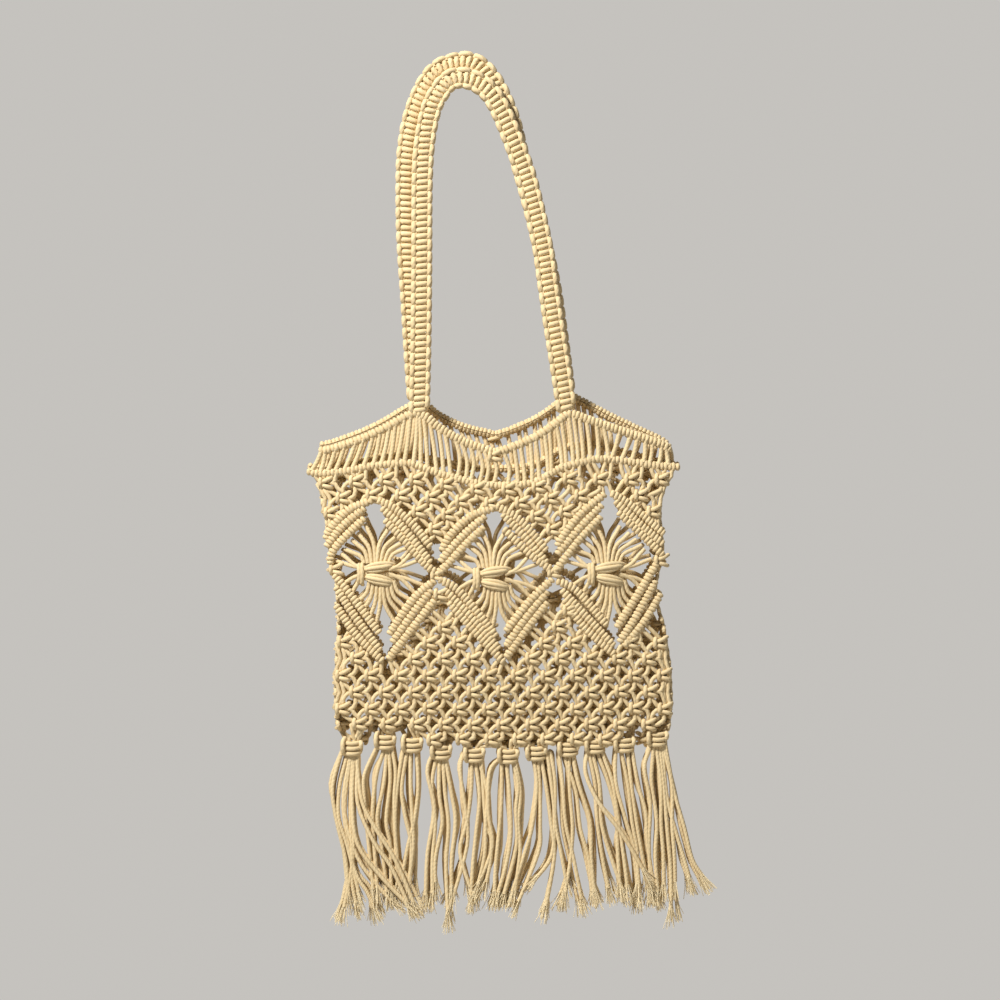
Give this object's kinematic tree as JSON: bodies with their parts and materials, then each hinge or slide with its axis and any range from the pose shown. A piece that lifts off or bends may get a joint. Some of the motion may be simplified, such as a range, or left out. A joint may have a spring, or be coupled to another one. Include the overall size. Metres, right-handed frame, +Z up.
{
  "type": "macrame shoulder bag",
  "caption": "Flat shoulder bag of knotted cotton cord that hangs by two woven handles: open knotwork faces with leaf-rimmed windows and a long fringe of tassels.",
  "frame": {"origin": "where the bag hangs: the underside of the front handle's loop, half way between the two faces", "axes": "+Z up, towards the top of the handles; -Y out of the front face; +X to the right of the front face"},
  "size_m": [0.3273, 0.045, 0.7275],
  "materials": {
    "cotton_cord": "matte"
  },
  "bodies": {
    "root": {"front_neck_ridge": "cotton_cord", "front_yoke": "cotton_cord", "front_net": "cotton_cord", "front_star_left": "cotton_cord", "front_star_middle": "cotton_cord", "front_star_right": "cotton_cord", "back_neck_ridge": "cotton_cord", "back_yoke": "cotton_cord", "back_net": "cotton_cord", "back_star_left": "cotton_cord", "back_star_middle": "cotton_cord", "back_star_right": "cotton_cord", "front_handle": "cotton_cord", "back_handle": "cotton_cord", "tassel_01": "cotton_cord", "tassel_02": "cotton_cord", "tassel_03": "cotton_cord", "tassel_04": "cotton_cord", "tassel_05": "cotton_cord", "tassel_06": "cotton_cord", "tassel_07": "cotton_cord", "tassel_08": "cotton_cord", "tassel_09": "cotton_cord", "tassel_10": "cotton_cord", "tassel_11": "cotton_cord"}
  },
  "joints": []
}
